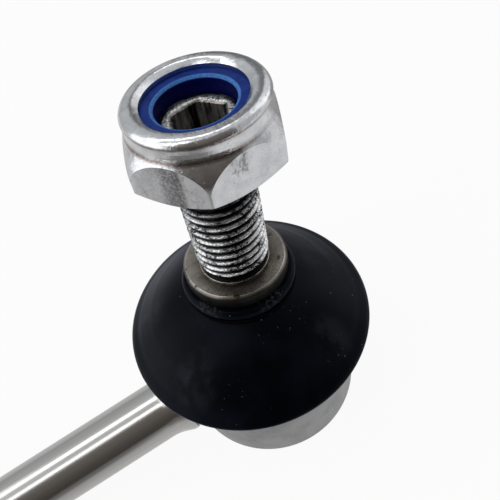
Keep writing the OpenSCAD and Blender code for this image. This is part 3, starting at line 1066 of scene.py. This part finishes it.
@dataclass
class LockNut:
    """Hex nut with a crimped crown and its nylon insert. Sizes in mm over the nut's foot."""

    foot: float = 40.3
    across: float = 17.0
    turn: float = 8.0
    crisp: float = 95.0
    height: float = 8.59
    chamfer_r: float = 8.245
    chamfer_h: float = 0.95
    corner_r: float = 9.815
    corner_top: float = 2.75
    shoulder_r: float = 8.45
    shoulder_power: float = 1.6
    crown_r: float = 8.3
    crown_foot: float = 5.59
    neck_hollow: float = 0.22
    neck_curve: tuple[tuple[float, float], ...] = ((0.18, 0.36), (0.02, 0.86), (0.0, 1.36))
    bead_r: float = 1.0
    lip_r: float = 6.0
    lip_drop: float = 0.48
    lip_slope: float = 0.75
    lip_power: float = 1.4
    crimp_t: float = 1.0
    insert_r: float = 6.95
    insert_h: float = 2.5
    insert_bore: float = 4.6
    insert_bevel: float = 0.25
    play: float = 0.05
    bore_r: float = 5.02
    countersink: float = 0.5
    # Heights and widths of the brown painted reflections over the neck's foot and the bead, and the direction
    # they face.
    painted_reflection: tuple[tuple[float, float], ...] = ((0.25, 0.42), (0.05, 0.25))
    reflection_at: float = 228.0
    columns: int = 288

    def body(self) -> Skin:
        """Hexagon with rounded-over corners, neck, rolled bead, lip and bore.

        At each angle the hexagon's radius gives the heights at which the foot's cone and the shoulder cut
        the flat. The shoulder's radius falls from the corner to the crown as 1 - h to a power, so its cuts
        come out as the narrow curved facets of a real nut.

        Returns:
            The surface, in the stud's frame.
        """
        angle = around(self.columns)
        hexa = hexagon(angle, self.across, self.turn, self.crisp)
        one = np.ones_like(angle)
        low = self.chamfer_h * (hexa - self.chamfer_r) / (self.corner_r - self.chamfer_r)
        reach = hexa.max() - self.shoulder_r
        start = np.clip(1 - (hexa - self.shoulder_r) / reach, 0, 1) ** (1 / self.shoulder_power)
        rise = start[:, None] + (1 - start[:, None]) * np.linspace(0, 1, 8)
        fall = self.shoulder_r + reach * (1 - rise**self.shoulder_power)
        shoulder = np.stack([fall, self.corner_top + rise * (self.crown_foot - self.corner_top)], axis=-1)
        recess, hollow = self.height - self.crimp_t, self.crown_r - self.neck_hollow
        seat, bead = recess - self.insert_h, self.height - self.bead_r
        foot = [(self.bore_r + self.countersink, 0.0, 0.1), (self.chamfer_r, 0.0, 0.15), (hexa, low, 0.12)]
        neck = [(hollow + out, self.crown_foot + up, 0.5) for out, up in self.neck_curve]
        neck += [(hollow + 0.05, bead - 0.20, 0.25), (self.crown_r - 0.08, bead + 0.08, 0.05)]
        curl = arc((self.crown_r - self.bead_r, bead), self.bead_r, 10.0, 90.0, 12)
        slope = np.linspace(0, 1, 6)
        drop = self.height - self.lip_drop * slope**self.lip_power
        inner = np.stack([self.lip_r + self.lip_slope * (1 - slope), drop], axis=-1)
        lip = [
            *((self.lip_r, recess, 0.05), (self.insert_r, recess, 0.05), (self.insert_r, seat, 0.05)),
            *((self.bore_r, seat, 0.05), (self.bore_r, self.countersink, 0.1)),
        ]
        table = foot + neck + [(r, z, 0.0) for r, z in np.concatenate([curl, inner])] + lip
        plain = np.stack([np.stack([r * one, z * one], axis=-1) for r, z, _ in table], axis=1)
        corners = np.concatenate([plain[:, :3], shoulder, plain[:, 3:]], axis=1)
        soft = [radius for _, _, radius in table]
        profile = rounded(corners, soft[:3] + [0.06] + [0.0] * 6 + [0.1] + soft[3:])
        radius, height = profile[..., 0].T, profile[..., 1].T
        skin = Skin.shaped(radius, height + self.foot, angle, ring=True)
        on_flat = (np.abs(radius - hexa) < 0.02) & (height > low) & (height < shoulder[:, 0, 1] + 0.01)
        skin.marks["flat"] = on_flat.astype(float)
        # The crease mark paints brown reflections in the neck's two creases, strongest towards one side.
        rows = zip((self.crown_foot, bead), self.painted_reflection)
        crease = sum(np.clip(1.3 - np.abs(height - base - up) / wide, 0, 1) for base, (up, wide) in rows)
        crease *= (radius > self.lip_r + 1.0) & (radius < self.crown_r + 0.1)
        crease *= np.clip(1.4 * np.cos(angle - math.radians(self.reflection_at)), 0.0, 1.0)
        skin.marks["crease"] = crease
        return skin

    def insert(self) -> Skin:
        """Nylon ring with a bevelled bore carried round the axis.

        Returns:
            The surface, in the stud's frame.
        """
        top = self.height - self.crimp_t - self.play
        low, outer = top + 2 * self.play - self.insert_h, self.insert_r - self.play
        bore, bevel = self.insert_bore, self.insert_bevel
        corners = np.array([
            [bore, low], [outer, low], [outer, top], [bore + bevel + 0.14, top], [bore + bevel, top],
            [bore, top - bevel], [bore, top - bevel - 0.14],
        ])
        profile = rounded(corners, [0.1, 0.1, 0.1, 0.0, 0.06, 0.06, 0.0])
        skin = Skin.turned(profile + np.array([0.0, self.foot]), 144, ring=True)
        radius = np.hypot(skin.grid[..., 0], skin.grid[..., 1])
        height = skin.grid[..., 2] - self.foot
        skin.marks["bevel"] = ((radius < bore + bevel + 0.08) & (height > top - bevel - 0.08)).astype(float)
        skin.marks["bore"] = ((radius < bore + 0.02) & (height < top - bevel - 0.1)).astype(float)
        return skin

    def build(self, end: End, fitter: Fitter) -> None:
        """Make nut and insert of one end.

        Args:
            end: The end of the link.
            fitter: Dresses the pieces.
        """
        label = end.label
        for skin, name, node, slot, body, crease in (
            (self.body(), "lock_nut", "nut", "nut_steel", "nut_body", 30.0),
            (self.insert(), "nylon_ring", "insert", "insert_nylon", "nut_ring", 60.0),
        ):
            placed = fitter.on_stud(skin.grid, end)
            fitter.add(skin, placed, f"{label}_{name}", f"{label}_{node}", slot, f"{label}_{body}", crease)


@dataclass
class DustBoot:
    """Rubber boot from the can's groove to the stud's collar, with its clamp rings.

    Sizes are in mm over the housing's foot.
    """

    rim_r: float = 18.3
    rim_z: float = 20.7
    rim_round: float = 0.4
    rim_rise: float = 0.75
    rim_drop: float = 1.1
    rim_fold: float = 1.9
    rim_share: float = 0.5
    wall: float = 1.5
    wall_slant: tuple[float, float] = (0.62, 0.85)
    even: float = 0.62
    waves: tuple[Triple, ...] = ((0.03, 0.62, 0.05), (-0.06, 0.90, 0.04))
    bead_top: float = 31.35
    bead_r: float = 8.05
    bead_h: float = 1.1
    bead_bevel: float = 0.4
    waist_r: float = 7.4
    waist_z: float = 29.65
    flank_z: float = 29.05
    lip_r: float = 5.75
    lip_drop: float = 0.55
    foot_in_r: float = 12.55
    foot_r: float = 13.5
    foot_dip: float = 0.3
    foot_low: float = 16.75
    foot_high: float = 18.25
    skirt_in_r: float = 13.3
    skirt_r: float = 14.55
    skirt_z: float = 18.8
    mouth_z: float = 20.35
    lower_wire: float = 1.2
    upper_wire: float = 0.5
    gap: float = 0.15
    bend_end: float = 0.75
    columns: int = 144

    def flank(self) -> Array:
        """Outer flank from waist to rim.

        The radius grows evenly with t and the height falls by e t + (1 - e) t t t (3 - 2 t). A low fold
        runs round the middle and a shallow groove just inside the rim, each a bell curve of t.

        Returns:
            Rows of radius, height and share of the lean.
        """
        t = np.linspace(0, 1, 65)
        fall = self.even * t + (1 - self.even) * t**3 * (3 - 2 * t)
        radius = self.waist_r + (self.rim_r - self.rim_round - self.waist_r) * t
        height = self.flank_z - (self.flank_z - self.rim_z - self.rim_rise) * fall
        height += sum(rise * np.exp(-(((t - middle) / width) ** 2)) for rise, middle, width in self.waves)
        return np.stack([radius, height, 1 - (1 - self.rim_share) * t], axis=-1)

    def profile(self) -> Array:
        """Closed profile with the rubber on its left.

        Returns:
            Rows of radius, height and share of the lean.
        """
        flank = self.flank()
        slant = np.array([self.wall_slant[0] * self.wall, self.wall_slant[1] * self.wall, 0.0])
        inner = flank[-5:3:-4] - slant
        share, middle = self.rim_share, (self.rim_r + self.skirt_r) / 2
        inside = (self.rim_r + self.skirt_in_r) / 2 - self.rim_round
        half = self.rim_round / 2
        head = [
            (self.lip_r, self.bead_top, 1.0, 0.1),
            (self.bead_r - self.bead_bevel, self.bead_top, 1.0, 0.35),
            (self.bead_r, self.bead_top - self.bead_bevel, 1.0, 0.35),
            (self.bead_r, self.bead_top - self.bead_h, 1.0, 0.35),
            (self.waist_r, self.waist_z, 1.0, 0.3),
        ]
        under = [
            (self.rim_r, self.rim_z + half, share, 0.5),
            (self.rim_r, self.rim_z - half, share, 0.5),
            (self.rim_r - self.rim_round, self.rim_z - 1.5 * self.rim_round, share, 0.5),
            (middle, self.rim_z - self.rim_drop, share / 2, 1.0),
            (self.skirt_r, self.skirt_z, 0.0, 0.5),
            (self.foot_r, self.foot_high, 0.0, 0.2),
            (self.foot_r - self.foot_dip, (self.foot_low + self.foot_high) / 2, 0.0, 0.3),
            (self.foot_r, self.foot_low, 0.0, 0.2),
            (self.foot_in_r, self.foot_low, 0.0, 0.2),
            (self.foot_in_r, self.foot_high, 0.0, 0.1),
            (self.skirt_in_r, self.foot_high, 0.0, 0.1),
            (self.skirt_in_r, self.mouth_z, 0.0, 0.4),
            (inside, self.rim_z + half, share / 2, 0.6),
            (self.rim_r - self.rim_fold, self.rim_z + self.rim_round, share, 0.5),
        ]
        tail = [(self.lip_r, self.flank_z - self.lip_drop, 1.0, 0.1)]
        smooth, hollow = (np.pad(rows, ((0, 0), (0, 1))) for rows in (flank, inner))
        table = np.concatenate([head, smooth, under, hollow, tail])
        return rounded(table[:, :3], table[:, 3])[::-1]

    def boot(self) -> Skin:
        """Profile carried round the axis before any lean.

        Returns:
            The surface, over the ball's middle.
        """
        profile = self.profile()
        skin = Skin.turned(profile[:, :2] - np.array([0.0, BALL_Z]), self.columns, ring=True)
        skin.marks["share"] = np.repeat(profile[:, 2:3], self.columns, axis=1)
        return skin

    def wire(self, inner: float, height: float, thick: float) -> Skin:
        """Round wire bent into a ring with a gap round the rubber."""
        section = arc((inner + self.gap + thick / 2, height), thick / 2, 0.0, 360.0, 25)[:-1]
        return Skin.turned(section, 144, ring=True)

    def build(self, end: End, fitter: Fitter) -> None:
        """Make boot and rings of one end; the boot bends between the can and the stud's collar.

        Args:
            end: The end of the link.
            fitter: Dresses the pieces.
        """
        skin, label, axis = self.boot(), end.label, end.axis_x * MM
        placed = tilted(skin.grid, end.lean * skin.marks["share"], end.heading)
        placed = placed + np.array([end.axis_x, 0.0, BALL_Z])
        boot = fitter.add(skin, placed, f"{label}_dust_boot", f"{label}_boot", "boot_rubber", None, 60.0)
        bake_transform(boot)
        lower = self.wire(self.foot_r, (self.foot_low + self.foot_high) / 2, self.lower_wire)
        upper = self.wire(self.waist_r, (self.waist_z + self.flank_z) / 2 - BALL_Z, self.upper_wire)
        for ring, place, word, body in (
            (lower, fitter.on_can, "lower", "boot_foot"),
            (upper, fitter.on_stud, "upper", "boot_neck"),
        ):
            name, node, body = f"{label}_{word}_clamp", f"{label}_{word}_ring", f"{label}_{body}"
            fitter.add(ring, place(ring.grid, end), name, node, "ring_steel", body)


@dataclass
class Studio:
    """Pale floor, soft strips and boxes, cards that only mirrors see, and the camera. Lengths in metres."""

    floor_z: float = -0.0004
    floor_half: float = 4.0
    floor_glow: float = 0.93
    floor_dim: Colour = (0.060, 0.048, 0.040)
    eye: Triple = (-0.004872, -0.04479, 0.097254)
    right: Triple = (0.84762, -0.44109, -0.29494)
    up: Triple = (0.52833, 0.65009, 0.54613)
    look: Triple = (0.04915, 0.61873, -0.78407)
    lens: float = 41.314
    shift: tuple[float, float] = (0.1048, 0.00108)
    world_light: float = 0.28
    strip_away: float = 0.6
    box_away: float = 0.7
    card_away: float = 0.9

    def seen(self, paint: Paint) -> Value:
        """1 for rays from the camera, a mirror or glass, else 0."""
        rays = ("Is Camera Ray", "Is Glossy Ray", "Is Transmission Ray")
        return sum(paint.node("ShaderNodeLightPath", output=ray) for ray in rays)

    def glow(self, paint: Paint, colour: Colour) -> Value:
        """Shader that gives off a colour of its own."""
        return paint.node("ShaderNodeEmission", {}, {"Color": colour, "Strength": 1.0})

    def mixed(self, paint: Paint, share: Value, first: Value, second: Value) -> Value:
        """Shader between two, by a share."""
        return paint.node("ShaderNodeMixShader", {}, {0: share, 1: first, 2: second})

    def sheet(self, name: str, corners: Array, paint: Paint, shader: Value) -> bpy.types.Object:
        """Flat four-cornered sheet that is no part of the link.

        Args:
            name: Name of the sheet.
            corners: Its four corners.
            paint: Tree of its material.
            shader: The shader that ends the tree.

        Returns:
            The sheet.
        """
        paint.node("ShaderNodeOutputMaterial", {}, {"Surface": shader})
        data = bpy.data.meshes.new(name)
        data.from_pydata(corners.tolist(), [], [[0, 1, 2, 3]])
        data.materials.append(paint.material)
        sheet = bpy.data.objects.new(name, data)
        bpy.context.scene.collection.objects.link(sheet)
        return sheet

    def floor(self) -> None:
        """White floor that keeps part of the link's shadow; mirrors see it dimmer by the rod and the boot."""
        half = self.floor_half
        corners = np.array([[-half, -half], [half, -half], [half, half], [-half, half]])
        paint = Paint("floor_white")
        matt = paint.node("ShaderNodeBsdfDiffuse", {}, {"Color": (0.9, 0.9, 0.9)})
        white, dim = self.glow(paint, (1.0, 1.0, 1.0)), self.glow(paint, self.floor_dim)
        x, y, _ = paint.parts(paint.node("ShaderNodeTexCoord", output="Object"))
        shade = x.step(0.01, -0.03) * 0.16 + x.step(-0.005, -0.045) * y.step(-0.004, -0.06) * 0.64
        shade = shade + x.step(-0.025, 0.005) * y.step(0.0, 0.03) * 0.6
        mirrored = paint.node("ShaderNodeLightPath", output="Is Glossy Ray")
        bright = self.mixed(paint, shade * mirrored, white, dim)
        shader = self.mixed(paint, self.seen(paint) * self.floor_glow, matt, bright)
        self.sheet("floor", np.column_stack([corners, np.full(4, self.floor_z)]), paint, shader)

    def world(self) -> None:
        """Even light from all round, white where the camera or a mirror sees it."""
        world = bpy.data.worlds.new("studio")
        bpy.context.scene.world = world
        paint = Paint("studio", world)
        soft, white = (
            paint.node("ShaderNodeBackground", {}, {"Color": (1.0, 1.0, 1.0), "Strength": level})
            for level in (self.world_light, 1.0)
        )
        shader = self.mixed(paint, self.seen(paint), soft, white)
        paint.node("ShaderNodeOutputWorld", {}, {"Surface": shader})

    def lamp(self, name: str, sides: tuple[float, float], watts: float, stand: Matrix) -> None:
        """Soft lamp that the camera doesn't see.

        Args:
            name: Name of the lamp.
            sides: Both sides, in metres.
            watts: Power.
            stand: Its place and turn.
        """
        light = bpy.data.lights.new(name, "AREA")
        light.shape = "RECTANGLE"
        light.size, light.size_y = sides
        light.energy = watts
        made = bpy.data.objects.new(name, light)
        made.matrix_world = stand
        made.visible_camera = False
        bpy.context.scene.collection.objects.link(made)

    def strip(
        self, name: str, elevation: float, width: float, watts: float, reach: tuple[float, float]
    ) -> None:
        """Strip lamp along the rod.

        Args:
            name: Name of the lamp.
            elevation: Angle in degrees from the front (-Y) horizon over the top.
            width: Width across the rod, in metres.
            watts: Power.
            reach: Ends along X, in metres.
        """
        angle, away = math.radians(elevation), self.strip_away
        place = ((reach[0] + reach[1]) / 2, -away * math.cos(angle), away * math.sin(angle))
        stand = Matrix.Translation(place) @ Matrix.Rotation(math.radians(90 - elevation), 4, "X")
        self.lamp(name, (reach[1] - reach[0], width), watts, stand)

    def softbox(self, name: str, azimuth: float, elevation: float, side: float, watts: float) -> None:
        """Square lamp that faces the near housing.

        Args:
            name: Name of the lamp.
            azimuth: Direction in degrees from +X.
            elevation: Angle in degrees over the horizon.
            side: Side, in metres.
            watts: Power.
        """
        turn, rise = math.radians(azimuth), math.radians(elevation)
        way = Vector((math.cos(turn) * math.cos(rise), math.sin(turn) * math.cos(rise), math.sin(rise)))
        place = self.box_away * way
        stand = Matrix.Translation(place) @ place.to_track_quat("Z", "Y").to_matrix().to_4x4()
        self.lamp(name, (side, side), watts, stand)

    def card(
        self, name: str, edges: tuple[float, float], levels: tuple[float, float], tint: Colour,
        reach: tuple[float, float] = (-1.6, 1.6),
    ) -> None:
        """Plain card that only mirrors see, shaded from its first edge to its second.

        Args:
            name: Name of the card.
            edges: Both edges, as degrees from the front horizon over the top.
            levels: Brightness at each edge, from 0 to 1.
            tint: Colour that the brightness multiplies.
            reach: Ends along X, as shares of the distance.
        """
        angle, away = np.radians(np.repeat(edges, 2)), self.card_away
        across = away * np.array([*reach, *reach[::-1]])
        corners = np.column_stack([across, -away * np.cos(angle), away * np.sin(angle)])
        paint = Paint(name)
        rise = paint.parts(paint.node("ShaderNodeTexCoord", output="Object"))[2]
        share = rise.step(float(corners[0, 2]), float(corners[2, 2]))
        foot, head = (self.glow(paint, tuple(level * c for c in tint)) for level in levels)
        card = self.sheet(name, corners, paint, self.mixed(paint, share, foot, head))
        card.visible_camera = card.visible_diffuse = card.visible_shadow = card.visible_transmission = False

    def camera(self) -> None:
        """Camera at the photograph's angle."""
        lens = bpy.data.cameras.new("camera")
        lens.sensor_width, lens.lens, lens.clip_start = 36.0, self.lens, 0.002
        lens.shift_x, lens.shift_y = self.shift
        camera = bpy.data.objects.new("camera", lens)
        turn = np.eye(4)
        turn[:3] = np.column_stack([self.right, self.up, -np.array(self.look), self.eye])
        camera.matrix_world = Matrix(turn.tolist())
        bpy.context.scene.collection.objects.link(camera)
        bpy.context.scene.camera = camera

    def build(self) -> None:
        """Set the stage, the light and the camera."""
        self.camera()
        self.floor()
        self.world()
        self.strip("back_strip", 113.0, 0.115, 0.65, (-0.33, 0.27))
        self.strip("overhead_strip", 82.0, 0.085, 0.33, (-0.45, -0.09))
        self.softbox("left_box", 168.0, 30.0, 0.75, 1.9)
        self.softbox("right_box", 20.0, 24.0, 0.60, 0.8)
        front, top, back, cold = (0.0, 73.0), (73.0, 123.0), (178.0, 123.0), (0.96, 0.985, 1.0)
        self.card("front_card", front, (0.085, 0.24), (1.0, 0.90, 0.82), (-1.6, 0.48))
        self.card("side_card", front, (0.60, 0.66), (0.98, 0.99, 1.0), (0.48, 2.4))
        self.card("top_card", top, (0.80, 0.80), (0.97, 0.99, 1.0))
        self.card("back_card", back, (0.58, 0.82), cold, (-1.6, 0.3))
        self.card("corner_card", back, (0.18, 0.34), cold, (0.3, 2.4))
        bpy.context.scene.view_settings.view_transform = "Standard"


def main() -> None:
    """Build the studio and each sub-assembly in order."""
    logging.basicConfig(level=logging.INFO, format="%(message)s")
    Studio().build()
    fitter = Fitter(Finishes())
    LinkRod().build(fitter)
    for end in End:
        BallHousing().build(end, fitter)
        BallStud().build(end, fitter)
        LockNut().build(end, fitter)
        DustBoot().build(end, fitter)


if __name__ == "__main__":
    main()
